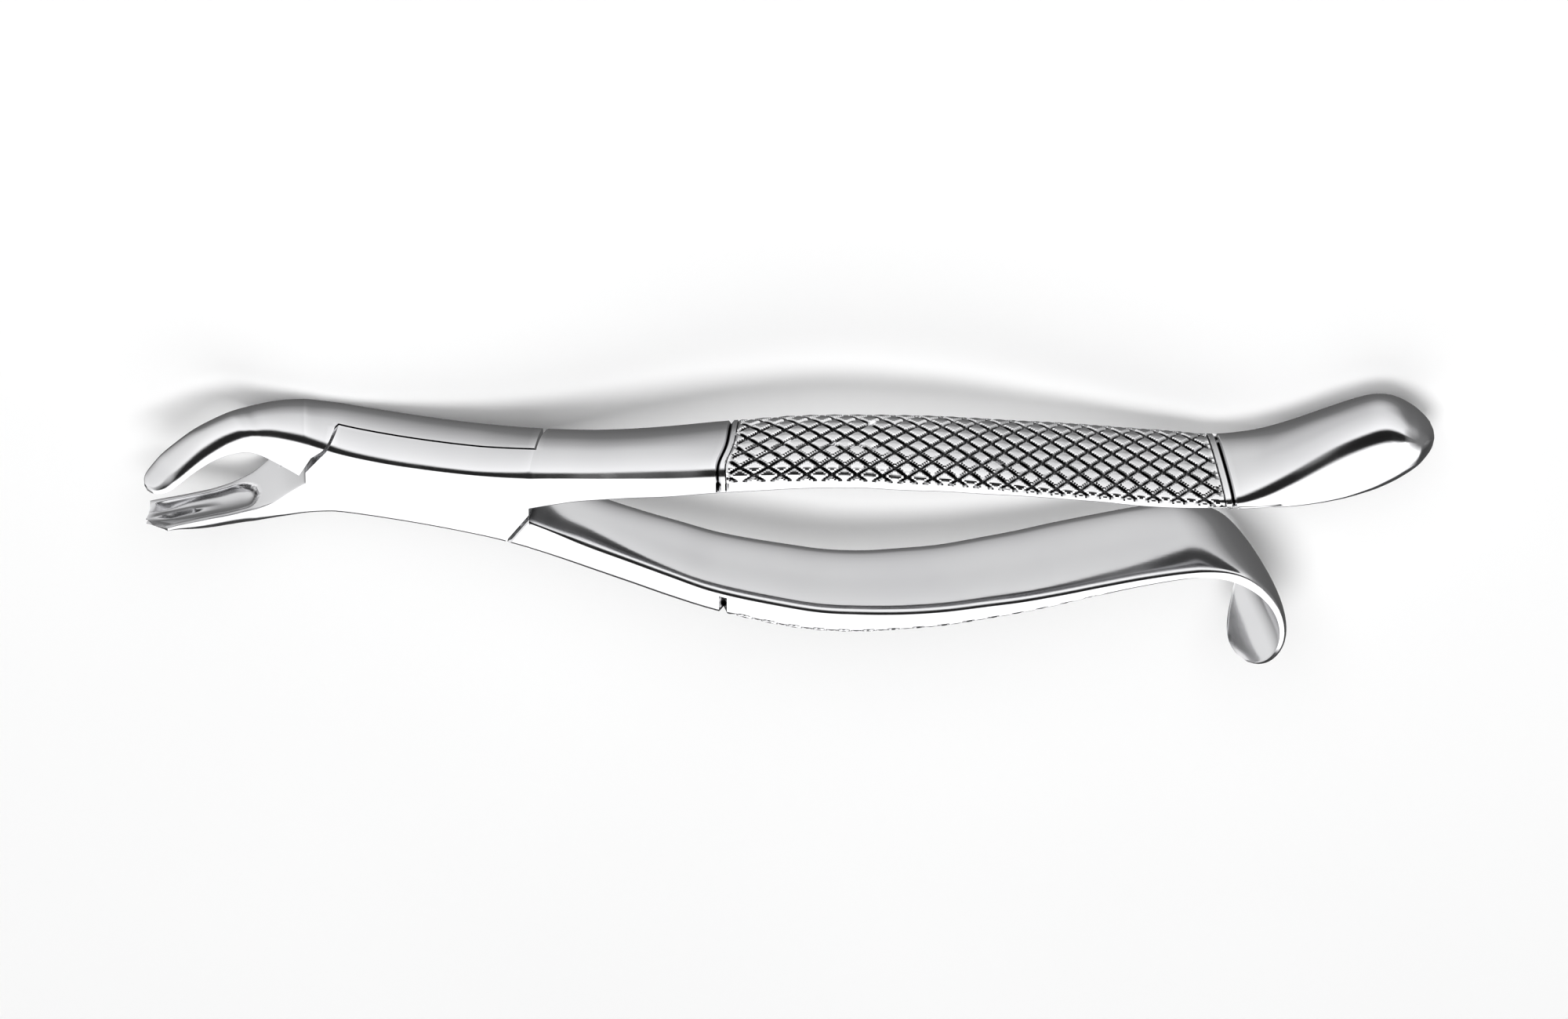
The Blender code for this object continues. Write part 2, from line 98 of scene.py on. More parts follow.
# Finger hook: where its curl starts, its radius at the handle's inner face, how that radius grows across
# the width, and the slant of its axis. Then the q of that inner face, and half the width there.
HOOK_START, HOOK_RADIUS, HOOK_TAPER, HOOK_SLANT = 108.9, 11.5, 0.1, math.radians(14.0)
HOOK_INNER_FACE, HOOK_HALF_WIDTH = -6.2, 6.75

# Knurl: length of a diamond along the handle, rows of diamonds over the outer face, groove depth and
# rise of each pyramid. The mesh has KNURL_CELLS cells to a diamond, so that its edges run along grooves.
KNURL_LENGTH, KNURL_ROWS, KNURL_CELLS = 3.35, 5.5, 12
KNURL_GROOVE, KNURL_PYRAMID = 0.36, 0.10
# The knurl fades over this share of the face at each edge, and from outside to inside each end of a grip.
KNURL_EDGE_FADE, KNURL_FADE_OUTSIDE, KNURL_FADE_INSIDE = 0.05, 0.2, 0.5
PALM_GRIP, HOOK_GRIP = (45.3, 111.4), (45.3, 95.0)

# Collars: place, half width and depth of each V groove round the outer face, and how deep a groove may
# be in the cheeks.
PALM_COLLARS = [(44.1, 0.38, 0.48), (45.15, 0.17, 0.24), (111.55, 0.17, 0.24), (112.75, 0.38, 0.48)]
HOOK_COLLARS = [(44.0, 0.55, 0.85)]
COLLAR_CHEEK_DEPTH = 0.3
# The palm handle's first collars bow towards the joint: by how much, round which b and s, and how widely.
BOW, BOW_B, BOW_WIDTH, BOW_S, BOW_LENGTH = 0.9, 4.0, 2.6, 44.6, 4.5
# Its last collars lean: by how much for each millimetre of b, round which s, and how widely.
LEAN, LEAN_S, LEAN_LENGTH = 0.11, 112.6, 5.5

# Plain beak and cusp beak, tip first: s, width, inner face, outer face, crown, crown power, inner edge.
PLAIN_BEAK = [
    (-39.2, 1.0, 2.9, 3.6, 0.4, 2.2, 0.1),
    (-38.8, 2.9, 3.0, 3.9, 0.5, 2.2, 0.15),
    (-38.0, 4.3, 3.2, 4.4, 0.8, 2.2, 0.2),
    (-37.0, 5.2, 3.5, 5.1, 1.2, 2.2, 0.25),
    (-35.5, 5.7, 4.5, 6.3, 1.4, 2.2, 0.25),
    (-33.0, 5.8, 5.9, 7.9, 1.7, 2.2, 0.25),
    (-30.6, 5.9, 6.8, 9.2, 2.1, 2.1, 0.25),
    (-28.2, 6.0, 7.0, 10.0, 2.6, 2.0, 0.25),
    (-25.6, 6.2, 6.5, 10.3, 2.9, 2.0, 0.25),
    (-24.0, 6.4, 5.6, 10.1, 2.8, 2.0, 0.25),
    (-22.6, 6.7, 4.6, 9.75, 2.6, 2.0, 0.25),
    (-21.0, 7.2, 3.3, 9.45, 2.6, 2.0, 0.25),
    (-18.7, 8.0, 1.6, 9.0, 2.5, 2.0, 0.25),
    (-15.6, 8.8, -0.6, 8.4, 2.3, 1.9, 0.25),
]
CUSP_BEAK = [
    (-37.5, 5.7, 3.6, 4.5, 0.4, 2.2, 0.2),
    (-36.0, 5.6, 3.9, 5.5, 1.0, 2.2, 0.25),
    (-33.0, 5.5, 4.7, 7.4, 1.8, 2.2, 0.25),
    (-30.6, 5.5, 5.3, 8.5, 2.3, 2.3, 0.25),
    (-28.2, 5.6, 5.9, 9.3, 2.6, 2.3, 0.25),
    (-25.6, 5.8, 6.3, 10.0, 2.7, 2.4, 0.25),
    (-24.0, 6.1, 6.4, 10.3, 2.6, 2.5, 0.25),
    (-22.4, 6.4, 6.1, 10.35, 2.5, 2.6, 0.25),
    (-21.0, 7.0, 5.4, 10.1, 2.4, 2.7, 0.25),
    (-18.7, 7.9, 3.5, 9.5, 2.0, 2.8, 0.25),
    (-15.6, 8.8, 1.1, 8.5, 1.6, 3.0, 0.25),
]
BEAK_INNER_POWER = 8.0

# Gouge in a beak's inner face: its depth, the distances from the tip between which it deepens, its share
# of the beak's width, the length of its round end as a share of its half width, the power of its floor's
# curve, how far along the round end it is cut, and the s of its end on each beak.
GOUGE_DEPTH, GOUGE_DEEPENING = 0.65, (-0.6, 2.4)
GOUGE_RIM, GOUGE_ROUND_END, GOUGE_FLOOR_POWER, GOUGE_LAST = 0.80, 1.25, 0.8, 0.995
PLAIN_GOUGE_END, CUSP_GOUGE_END = -23.0, -22.6
# Cusp: how far it reaches past the corners of the tip, how far back that shows, its sharpness, and the
# ridge that runs on from it along the gouge, with its half width as a share of the beak's width.
CUSP_REACH, CUSP_LENGTH, CUSP_POWER = 2.0, 5.0, 1.5
RIDGE_LENGTH, RIDGE_HALF_WIDTH = 9.5, 0.13

# Joint outline, the same for both halves: s, width, upper height, upper crown, lower height, lower
# crown. Upper is +Y, the palm handle's side.
JOINT = [
    (-15.5, 8.8, 8.4, 2.3, 8.5, 1.6),
    (-13.0, 9.1, 7.7, 2.0, 8.0, 1.5),
    (-9.0, 9.5, 7.15, 1.7, 7.25, 1.5),
    (-3.0, 9.8, 6.95, 1.6, 6.85, 1.5),
    (3.0, 9.8, 7.1, 1.6, 6.85, 1.5),
    (9.0, 9.8, 7.55, 1.6, 7.1, 1.5),
    (13.0, 9.8, 8.15, 1.8, 7.5, 1.6),
    (17.1, 9.8, 8.95, 2.1, 8.3, 1.8),
]
UPPER_POWER, LOWER_POWER = 1.9, 3.0

# Palm handle and hook handle: s, width, inner face, outer face, crown, crown power, inner edge,
# inner power, hollow of the inner face.
PALM_HANDLE = [
    (17.2, 9.8, 0.7, 8.95, 2.1, 1.9, 0.8, 3.0, 0.0),
    (19.8, 9.6, 1.9, 9.5, 2.0, 1.9, 0.8, 3.0, 0.0),
    (24.3, 9.5, 3.6, 10.55, 2.0, 1.9, 1.1, 2.5, 0.0),
    (30.9, 9.8, 6.0, 12.35, 2.2, 1.9, 1.1, 2.5, 0.1),
    (36.5, 10.4, 7.8, 13.85, 2.5, 2.0, 1.1, 2.5, 0.2),
    (42.4, 11.0, 9.7, 15.25, 2.6, 2.1, 1.1, 2.5, 0.2),
    (51.8, 11.6, 12.1, 16.95, 2.5, 2.2, 1.1, 2.5, 0.2),
    (57.3, 11.8, 12.9, 17.35, 2.4, 2.3, 1.1, 2.5, 0.2),
    (62.7, 11.9, 13.1, 17.4, 2.3, 2.3, 1.1, 2.5, 0.2),
    (68.1, 12.3, 12.8, 17.0, 2.2, 2.3, 1.1, 2.5, 0.2),
    (73.6, 12.5, 12.4, 16.4, 2.1, 2.3, 1.1, 2.5, 0.2),
    (79.0, 12.8, 11.6, 15.4, 2.1, 2.3, 1.1, 2.5, 0.2),
    (84.5, 13.2, 10.8, 14.0, 1.9, 2.3, 1.1, 2.5, 0.2),
    (89.9, 13.5, 9.8, 12.8, 1.8, 2.3, 1.1, 2.5, 0.2),
    (95.3, 13.5, 8.6, 11.6, 1.7, 2.3, 1.1, 2.5, 0.2),
    (100.7, 13.5, 7.2, 10.4, 1.7, 2.3, 1.1, 2.5, 0.2),
    (106.2, 13.5, 6.2, 9.3, 1.7, 2.3, 1.1, 2.5, 0.2),
    (112.4, 13.4, 5.5, 8.3, 2.1, 2.4, 1.1, 2.5, 0.1),
    (117.1, 13.2, 5.1, 9.2, 3.3, 2.5, 1.1, 2.5, 0.0),
    (121.5, 13.0, 4.9, 11.2, 5.0, 2.6, 1.1, 3.6, 0.0),
    (128.0, 12.6, 4.8, 14.95, 7.6, 2.6, 2.0, 2.8, 0.0),
    (132.4, 12.1, 5.2, 16.9, 7.9, 2.6, 3.2, 2.5, 0.0),
    (134.6, 11.6, 5.7, 17.3, 7.5, 2.5, 3.8, 2.4, 0.0),
    (136.7, 10.8, 6.7, 16.7, 6.1, 2.4, 3.7, 2.3, 0.0),
    (138.9, 9.0, 8.2, 15.1, 4.1, 2.3, 2.6, 2.2, 0.0),
    (140.2, 6.7, 9.2, 13.9, 2.6, 2.2, 1.9, 2.2, 0.0),
    (141.2, 4.0, 10.2, 12.7, 1.3, 2.2, 1.0, 2.2, 0.0),
    (141.6, 1.6, 10.9, 11.8, 0.4, 2.2, 0.4, 2.2, 0.0),
]
HOOK_HANDLE = [
    (17.2, 9.8, 1.4, 8.35, 1.8, 3.0, 0.9, 3.2, 0.0),
    (19.8, 9.6, 2.4, 9.15, 1.9, 2.9, 0.9, 3.2, 0.0),
    (24.3, 9.5, 4.0, 10.55, 2.1, 2.8, 1.3, 2.6, 0.0),
    (30.9, 9.8, 6.0, 12.5, 2.3, 2.7, 1.3, 2.6, 0.1),
    (36.5, 10.4, 7.7, 14.2, 2.4, 2.6, 1.3, 2.6, 0.2),
    (42.4, 11.0, 9.6, 15.75, 2.3, 2.6, 1.3, 2.6, 0.2),
    (51.8, 11.6, 11.4, 17.9, 2.3, 2.5, 1.3, 2.6, 0.2),
    (57.3, 11.8, 12.3, 18.5, 2.2, 2.5, 1.3, 2.6, 0.2),
    (62.7, 11.9, 12.5, 18.5, 2.1, 2.5, 1.3, 2.6, 0.2),
    (68.1, 12.3, 12.3, 17.8, 2.0, 2.5, 1.3, 2.6, 0.2),
    (73.6, 12.5, 11.9, 17.1, 1.9, 2.5, 1.3, 2.6, 0.2),
    (79.0, 12.8, 11.1, 16.0, 1.9, 2.5, 1.3, 2.6, 0.2),
    (84.5, 13.2, 10.3, 14.7, 1.7, 2.5, 1.3, 2.6, 0.2),
    (89.9, 13.5, 9.2, 13.2, 1.6, 2.5, 1.3, 2.6, 0.2),
    (95.3, 13.5, 8.1, 11.6, 1.4, 2.5, 1.3, 2.6, 0.2),
    (100.7, 13.5, 7.1, 10.15, 1.1, 2.5, 1.3, 2.6, 0.2),
    (106.2, 13.5, 6.4, 9.0, 0.8, 2.5, 1.3, 2.6, 0.1),
    (110.5, 13.5, 6.2, 8.5, 0.4, 2.3, 1.3, 2.6, 0.0),
    (114.5, 13.5, 6.2, 8.2, 0.0, 2.0, 1.2, 3.2, 0.0),
    (118.9, 13.5, 6.2, 8.1, -0.2, 2.0, 1.5, 2.5, 0.0),
    (123.8, 13.4, 6.2, 8.0, -0.3, 2.0, 1.7, 2.3, 0.0),
    (128.5, 12.9, 6.2, 8.0, -0.3, 2.0, 1.7, 2.3, 0.0),
    (131.6, 12.0, 6.2, 8.0, -0.3, 2.0, 1.6, 2.3, 0.0),
    (134.3, 10.4, 6.2, 7.95, -0.25, 2.0, 1.5, 2.3, 0.0),
    (136.7, 7.9, 6.25, 7.85, -0.2, 2.0, 1.3, 2.3, 0.0),
    (138.2, 4.8, 6.4, 7.8, -0.1, 2.0, 1.0, 2.3, 0.0),
    (138.8, 1.8, 6.7, 7.65, -0.05, 2.0, 0.5, 2.3, 0.0),
]
HOLLOW_RIM = 0.8

# ---------------------------------------------------------------- mesh spacing
COLUMNS = round(KNURL_ROWS * KNURL_CELLS)
ARCH_SAMPLES, END_CROWDING = 1501, 0.82
BEAK_STEP, JOINT_STEP, HANDLE_STEP, HANDLE_END_STEP = 0.3, 0.55, 0.55, 0.38
COLLAR_CLEAR, COLLAR_ROWS, CLOSEST_ROWS = 1.2, (-1.6, -1.0, -0.5, 0.0, 0.5, 1.0, 1.6), 0.02
DISC_SIDES = 96
# Edges that turn more than a crease angle stay sharp. It is finer over a knurl, between these x.
PLAIN_CREASE, KNURL_CREASE, SCREW_CREASE = math.radians(38), math.radians(13), math.radians(30)
PALM_KNURL_X, HOOK_KNURL_X = (44.9, 112.0), (44.9, 96.0)

joint = frame["joints"][0]
pivot = Vector(joint["pos_m"])
pivot_axis = -Vector(joint["axis"]).normalized()
PLACE = (
    Matrix.Translation(pivot)
    @ Matrix.Rotation(math.atan2(pivot_axis.x, pivot_axis.z), 4, "Y")
    @ Matrix.Scale(MM, 4)
)


# ---------------------------------------------------------------- sections
def smooth(lo, hi, x):
    """0 up to lo, 1 from hi, and a smooth step between them."""
    t = np.clip((x - lo) / (hi - lo), 0.0, 1.0)
    return t * t * (3 - 2 * t)


def centre_line(s):
    """(x, z, angle) of the side view at distances s from the pivot, positive along the handles."""
    s = np.asarray(s, float)
    beak = s < 0
    start = np.where(beak, BEAK_BEND_START, HANDLE_BEND_START)
    radius = np.where(beak, BEAK_BEND_RADIUS, HANDLE_BEND_RADIUS)
    angle = np.where(beak, BEAK_BEND_ANGLE, HANDLE_BEND_ANGLE)
    way = np.where(beak, -1.0, 1.0)
    run = np.maximum(np.abs(s) - start, 0.0)
    turned = np.minimum(run / radius, angle)
    beyond = run - turned * radius
    x = np.minimum(np.abs(s), start) + radius * np.sin(turned) + beyond * np.cos(turned)
    z = radius * (1 - np.cos(turned)) + beyond * np.sin(turned)
    return way * x, -way * z, turned


def table_at(table, s):
    """Row of the table at s, by a smooth curve through its rows."""
    at = np.array([row[0] for row in table])
    rows = np.array([row[1:] for row in table], float)
    i = int(np.clip(np.searchsorted(at, s) - 1, 0, len(table) - 2))

    def slope(j):
        lo, hi = max(j - 1, 0), min(j + 1, len(table) - 1)
        return (rows[hi] - rows[lo]) / (at[hi] - at[lo])

    span = at[i + 1] - at[i]
    t = min(max((s - at[i]) / span, 0.0), 1.0)
    return (
        rows[i] * (1 + 2 * t) * (1 - t) ** 2
        + slope(i) * span * t * (1 - t) ** 2
        + rows[i + 1] * t * t * (3 - 2 * t)
        + slope(i + 1) * span * t * t * (t - 1)
    )


# Places of points as shares of the way: along a side, evenly or crowded at both ends, and down a cheek.
EVEN = np.linspace(0, 1, COLUMNS + 1)
ENDS = EVEN - END_CROWDING * np.sin(2 * math.pi * EVEN) / (2 * math.pi)
CHEEK = np.array([0.12, 0.4, 0.7, 0.92])
ARCH_TURNS = math.pi * smooth(0, 1, np.linspace(0, 1, ARCH_SAMPLES))


def arch(width, level, rise, power, where):
    """One side of a section, from +width/2 to -width/2: (b, q) rising from level, at arc fractions."""
    c, s = np.cos(ARCH_TURNS), np.sin(ARCH_TURNS)
    b = width / 2 * np.sign(c) * np.abs(c) ** (2 / power)
    q = rise * np.abs(s) ** (2 / power)
    run = np.concatenate([[0], np.cumsum(np.hypot(np.diff(b), np.diff(q)))])
    at = where * run[-1]
    return np.stack([np.interp(at, run, b), level + np.interp(at, run, q)], 1)


def normals(side):
    """Outward unit normals of one side, its middle rising away from the section's centre."""
    along = np.gradient(side, axis=0)
    out = np.stack([along[:, 1], -along[:, 0]], 1)
    out /= np.linalg.norm(out, axis=1)[:, None]
    middle = len(side) // 2
    return out if out[middle, 1] * np.sign(side[middle, 1] - side[0, 1]) > 0 else -out


def closed_section(first, second, cheek_depth=0.0):
    """The two sides of a section and the cheeks that join them, which can be sunk."""
    near = first[-1] + (second[-1] - first[-1]) * CHEEK[:, None]
    far = second[0] + (first[0] - second[0]) * CHEEK[:, None]
    near[:, 0] += cheek_depth
    far[:, 0] -= cheek_depth
    return np.concatenate([first, near, second[::-1], far])


def gouge(side, s, width, depth, ridge, inner_end):
    """Spoon-shaped hollow of a beak's inner face, with a round inner end and a ridge along it."""
    reach = GOUGE_RIM * width / 2
    rounded = reach * GOUGE_ROUND_END
    end = max(0.0, (s - (inner_end - rounded)) / rounded)
    if end > GOUGE_LAST:
        return side
    from_middle = np.abs(side[:, 0])
    f = from_middle / (reach * math.sqrt(1 - end**2))
    sunk = depth * np.clip(1 - f**2, 0, 1) ** GOUGE_FLOOR_POWER
    sunk -= ridge * np.clip(1 - from_middle / (RIDGE_HALF_WIDTH * width), 0, 1)
    return side + np.stack([np.zeros(len(side)), sunk], 1)


def knurl(s, a):
    """Height of the knurled surface at s along the handle and arc fraction a over the outer face."""
    one, two = s / KNURL_LENGTH + a * KNURL_ROWS, s / KNURL_LENGTH - a * KNURL_ROWS
    near = np.minimum(np.abs(one - np.round(one)), np.abs(two - np.round(two)))
    return -KNURL_GROOVE * np.clip(1 - near * KNURL_CELLS / 2, 0, 1) - KNURL_PYRAMID * (1 - 2 * near)


def knurl_share(s, grip):
    """How much of the knurl shows over the outer face at s: it fades at a grip's edges and ends."""
    across = smooth(0.0, KNURL_EDGE_FADE, EVEN) * smooth(0.0, KNURL_EDGE_FADE, 1 - EVEN)
    start = smooth(grip[0] - KNURL_FADE_OUTSIDE, grip[0] + KNURL_FADE_INSIDE, s)
    end = smooth(-grip[1] - KNURL_FADE_OUTSIDE, KNURL_FADE_INSIDE - grip[1], -s)
    return across * start * end


def collar_depth(s, collars):
    return sum(depth * max(0.0, 1 - abs(s - at) / half_width) for at, half_width, depth in collars)


def collar_shift(s, b, bow, lean):
    """How far a ring's points move along the handle where its collars bow and lean."""
    bowed = -bow * np.exp(-(((b - BOW_B) / BOW_WIDTH) ** 2)) * math.exp(-(((s - BOW_S) / BOW_LENGTH) ** 2))
    leant = lean * b * math.exp(-(((s - LEAN_S) / LEAN_LENGTH) ** 2))
    return bowed + leant


# ---------------------------------------------------------------- rings
def straight_place(sign, s, b, q):
    """Points (x, y, z) of (b, q) at s. The sign is +1 for the half whose beak is the upper one, or -1."""
    x, z, turned = centre_line(s)
    return np.stack([x + b * np.sin(turned), sign * q, z + b * np.cos(turned)], 1)


def hook_place(sign, s, b, q):
    """The same, curled outwards past the start of the finger hook."""
    cos, sin = math.cos(HOOK_SLANT), math.sin(HOOK_SLANT)
    offset = HOOK_HALF_WIDTH * sin
    along = (s - HOOK_START) * cos - b * sin + offset
    across = (s - HOOK_START) * sin + b * cos
    radius = HOOK_RADIUS + HOOK_TAPER * across
    turned = np.maximum(along, 0) / radius
    arm = radius - (HOOK_INNER_FACE - q)
    flat = arm * np.sin(turned) - offset
    curled = along > 0
    new_s = np.where(curled, HOOK_START + flat * cos + across * sin, s)
    new_b = np.where(curled, across * cos - flat * sin, b)
    new_q = np.where(curled, HOOK_INNER_FACE - radius + arm * np.cos(turned), q)
    return straight_place(sign, new_s, new_b, new_q)


def rows_between(lo, hi, step):
    """Even places from lo to hi, about a step apart."""
    return list(np.linspace(lo, hi, max(1, round((hi - lo) / step)) + 1))


def beak_rings(sign, table, reach, gouge_end):
    """Rings of a beak from its tip, which reaches out to a cusp at mid width if reach isn't 0."""
    rings = []
    tip = table[0][0]
    for s in rows_between(tip, table[-1][0], BEAK_STEP):
        width, inner, outer, crown, power, edge = table_at(table, s)
        from_tip = s - tip
        depth = GOUGE_DEPTH * float(smooth(*GOUGE_DEEPENING, from_tip))
        ridge = depth * max(0.0, 1 - from_tip / RIDGE_LENGTH) if reach else 0.0
        first = arch(width, outer - crown, crown, power, EVEN)
        second = arch(width, inner + edge, -edge, BEAK_INNER_POWER, ENDS)
        b, q = closed_section(first, gouge(second, s, width, depth, ridge, gouge_end)).T
        near_tip = max(0.0, 1 - from_tip / CUSP_LENGTH)
        near_middle = np.clip(1 - np.abs(b) / (width / 2), 0, 1)
        rings.append(straight_place(sign, s - reach * near_tip * near_middle**CUSP_POWER, b, q))
    return rings


def joint_rings(sign):
    """Rings of the joint, where the beak's inner face becomes the outer face of the handle."""
    rings = []
    start, end = JOINT[0][0], JOINT[-1][0]
    for s in rows_between(start, end, JOINT_STEP):
        width, upper_height, upper_crown, lower_height, lower_crown = table_at(JOINT, s)
        upper, lower = (upper_height, upper_crown, UPPER_POWER), (lower_height, lower_crown, LOWER_POWER)
        beak_side, handle_side = (upper, lower) if sign > 0 else (lower, upper)
        turn = smooth(start, end, s)
        height, crown, power = beak_side
        first = arch(width, height - crown, crown, power, EVEN + (ENDS - EVEN) * turn)
        height, crown, power = handle_side
        second = arch(width, crown - height, -crown, power, ENDS + (EVEN - ENDS) * turn)
        b, q = closed_section(first, second).T
        rings.append(straight_place(sign, np.full(len(b), s), b, q))
    return rings


def handle_rows(start, end, grip, collars):
    """Places of a handle's rings: close together at the collars, and on the grooves' own grid in a grip."""
    cell = KNURL_LENGTH / KNURL_CELLS
    first = math.ceil(grip[0] / cell) * cell
    grip_rows = [first + i * cell for i in range(int((grip[1] - first) / cell) + 1)]
    rows = rows_between(start, collars[0][0] - COLLAR_CLEAR, HANDLE_STEP)
    rows += [at + half_width * share for at, half_width, _ in collars for share in COLLAR_ROWS]
    rows = [s for s in rows if not grip[0] < s < grip[1]] + grip_rows
    rows += rows_between(max(collars[-1][0], grip[1]) + COLLAR_CLEAR, end, HANDLE_END_STEP)
    rows = sorted(set(round(s, 5) for s in rows))
    return [s for s, after in zip(rows, rows[1:] + [math.inf]) if after - s > CLOSEST_ROWS]


def handle_rings(sign, table, place, grip, collars, bow, lean):
    """Rings of a handle, with its knurled grip and the collars beside it."""
    rings = []
    for s in handle_rows(table[0][0], table[-1][0], grip, collars):
        width, inner, outer, crown, power, edge, inner_power, hollow = table_at(table, s)
        first = arch(width, -inner - edge, edge, inner_power, ENDS)
        first[:, 1] -= hollow * np.clip(1 - (np.abs(first[:, 0]) / (HOLLOW_RIM * width / 2)) ** 2, 0, 1)
        second = arch(width, crown - outer, -crown, power, EVEN)
        out = normals(second)
        if grip[0] <= s <= grip[1]:
            second = second + out * (knurl(s, EVEN) * knurl_share(s, grip))[:, None]
        depth = collar_depth(s, collars)
        second = second - out * depth
        b, q = closed_section(first, second, min(depth, COLLAR_CHEEK_DEPTH)).T
        rings.append(place(sign, s + collar_shift(s, b, bow, lean), b, q))
    return rings


# ---------------------------------------------------------------- meshes
def mesh_object(name, vertices, faces):
    mesh = bpy.data.meshes.new(name)
    mesh.from_pydata([tuple(v) for v in vertices], [], faces)
    mesh.update()
    bm = bmesh.new()
    bm.from_mesh(mesh)
    bmesh.ops.recalc_face_normals(bm, faces=bm.faces)
    bm.to_mesh(mesh)
    bm.free()
    obj = bpy.data.objects.new(name, mesh)
    bpy.context.scene.collection.objects.link(obj)
    return obj


def loft(name, rings):
    """Closed mesh through rings of the same number of points, with a flat face on each end."""
    size = len(rings[0])
    vertices = np.concatenate(rings)
    total = len(vertices)
    faces = [tuple(range(size))[::-1], tuple(range(total - size, total))]
    for low in range(0, total - size, size):
        high = low + size
        for i in range(size):
            j = (i + 1) % size
            faces.append((low + i, low + j, high + j, high + i))
    return mesh_object(name, vertices, faces)


def prism(name, outline, z0, z1):
    return loft(name, [[(x, y, z) for x, y in outline] for z in (z0, z1)])


def disc(radius):
    turns = [2 * math.pi * i / DISC_SIDES for i in range(DISC_SIDES)]
    return [(radius * math.cos(t), radius * math.sin(t)) for t in turns]


def lathe(name, profile):
    return loft(name, [[(x, y, z) for x, y in disc(radius)] for radius, z in profile])


def cut_all(obj, cutters):
    """Cut the cutters' shapes out of the object, then remove the cutters."""
    for cutter in cutters:
        modifier = obj.modifiers.new("cut", "BOOLEAN")
        modifier.operation, modifier.solver, modifier.object = "DIFFERENCE", "EXACT", cutter
    graph = bpy.context.evaluated_depsgraph_get()
    mesh = bpy.data.meshes.new_from_object(obj.evaluated_get(graph))
    obj.modifiers.clear()
    old, obj.data = obj.data, mesh
    bpy.data.meshes.remove(old)
    mesh.name = obj.name
    for cutter in cutters:
        bpy.data.objects.remove(cutter, do_unlink=True)


def finish_mesh(obj, crease, fine_crease=0.0, fine_x=(0.0, 0.0)):
    """Smooth faces with sharp edges where they turn, then the object is put in its place."""
    bm = bmesh.new()
    bm.from_mesh(obj.data)
    bmesh.ops.dissolve_degenerate(bm, edges=bm.edges, dist=1e-4)
    for face in bm.faces:
        face.smooth = True
    for edge in bm.edges:
        if len(edge.link_faces) != 2:
            continue
        limit = fine_crease if fine_x[0] < edge.verts[0].co.x < fine_x[1] else crease
        edge.smooth = edge.calc_face_angle(0.0) < limit
    bm.to_mesh(obj.data)
    bm.free()
    obj.data.transform(PLACE)
    obj.data.update()


# ---------------------------------------------------------------- box joint
def shoulder_line(lean, s, y, gap):
    """Both ends of a shoulder that starts at (s, y) and leans, moved sideways by the gap."""
    towards = 1 if s < 0 else -1
    along = Vector((lean * towards, towards)).normalized()
    start = Vector((s, y)) + Vector((-along.y, along.x)) * gap
    return start, start + along * SHOULDER_REACH


def outward(start, end):
    """Unit vector square to a shoulder, away from the pivot."""
    along = (end - start).normalized()
    square = Vector((-along.y, along.x))
    return square if square.dot(start) > 0 else -square


def bevel(start, end, size):
    """Cutter that bevels the near cheek's edge along a shoulder."""
    into, spare, cheek = outward(start, end), BEVEL_SPARE, JOINT_WIDTH / 2
    corners = [(-spare, -size - spare), (size + spare, spare), (-spare, spare)]
    return loft("bevel", [[(*(point + into * e), z + cheek) for e, z in corners] for point in (start, end)])


def relief(start, end):
    """Outline of the wedge by which the rear half's upper shoulder stands back from the front half."""
    along, into = (end - start).normalized(), outward(start, end)
    corners = [(RELIEF_START, -RELIEF_SPARE), (RELIEF_END, -RELIEF_SPARE), (RELIEF_DEEPEST, RELIEF_DEPTH)]
    return [start + along * a + into * e for a, e in corners]


# Shoulders: at the throat by the beaks and at the crotch by the handles. The front half has them on these
# lines, and the rear half a gap off them.
throat, throat_top = shoulder_line(UPPER_SHOULDER_LEAN, THROAT_S, THROAT_Y, 0.0)
throat_off, throat_top_off = shoulder_line(UPPER_SHOULDER_LEAN, THROAT_S, THROAT_Y, SHOULDER_GAP)
crotch, crotch_low = shoulder_line(LOWER_SHOULDER_LEAN, CROTCH_S, CROTCH_Y, 0.0)
crotch_off, crotch_low_off = shoulder_line(LOWER_SHOULDER_LEAN, CROTCH_S, CROTCH_Y, SHOULDER_GAP)


def make_palm_half():
    """The half with the palm handle and the cusp beak, with the pocket that the other half lies in."""
    half = loft("palm_half", (
        beak_rings(-1, CUSP_BEAK, CUSP_REACH, CUSP_GOUGE_END)
        + joint_rings(-1)
        + handle_rings(-1, PALM_HANDLE, straight_place, PALM_GRIP, PALM_COLLARS, BOW, LEAN)
    ))
    upper = [throat, throat_top, (CUT_LEFT, throat_top.y), (CUT_LEFT, throat.y)]
    lower = [crotch, crotch_low, (CUT_RIGHT, crotch_low.y), (CUT_RIGHT, crotch.y)]
    thread_top = THREAD_Z + SCREW_THREAD_LENGTH + SCREW_CLEARANCE
    cut_all(half, [
        prism("pocket", disc(POCKET_RADIUS), CUT_UNDER, LAP_Z + LAP_GAP / 2),
        prism("throat", upper, -CUT_PAST_LAP, CUT_OVER),
        prism("crotch", lower, -CUT_PAST_LAP, CUT_OVER),
        prism("thread", disc(SCREW_THREAD_RADIUS + SCREW_CLEARANCE), -CUT_PAST_LAP, thread_top),
    ])
    finish_mesh(half, PLAIN_CREASE, KNURL_CREASE, PALM_KNURL_X)
    return half


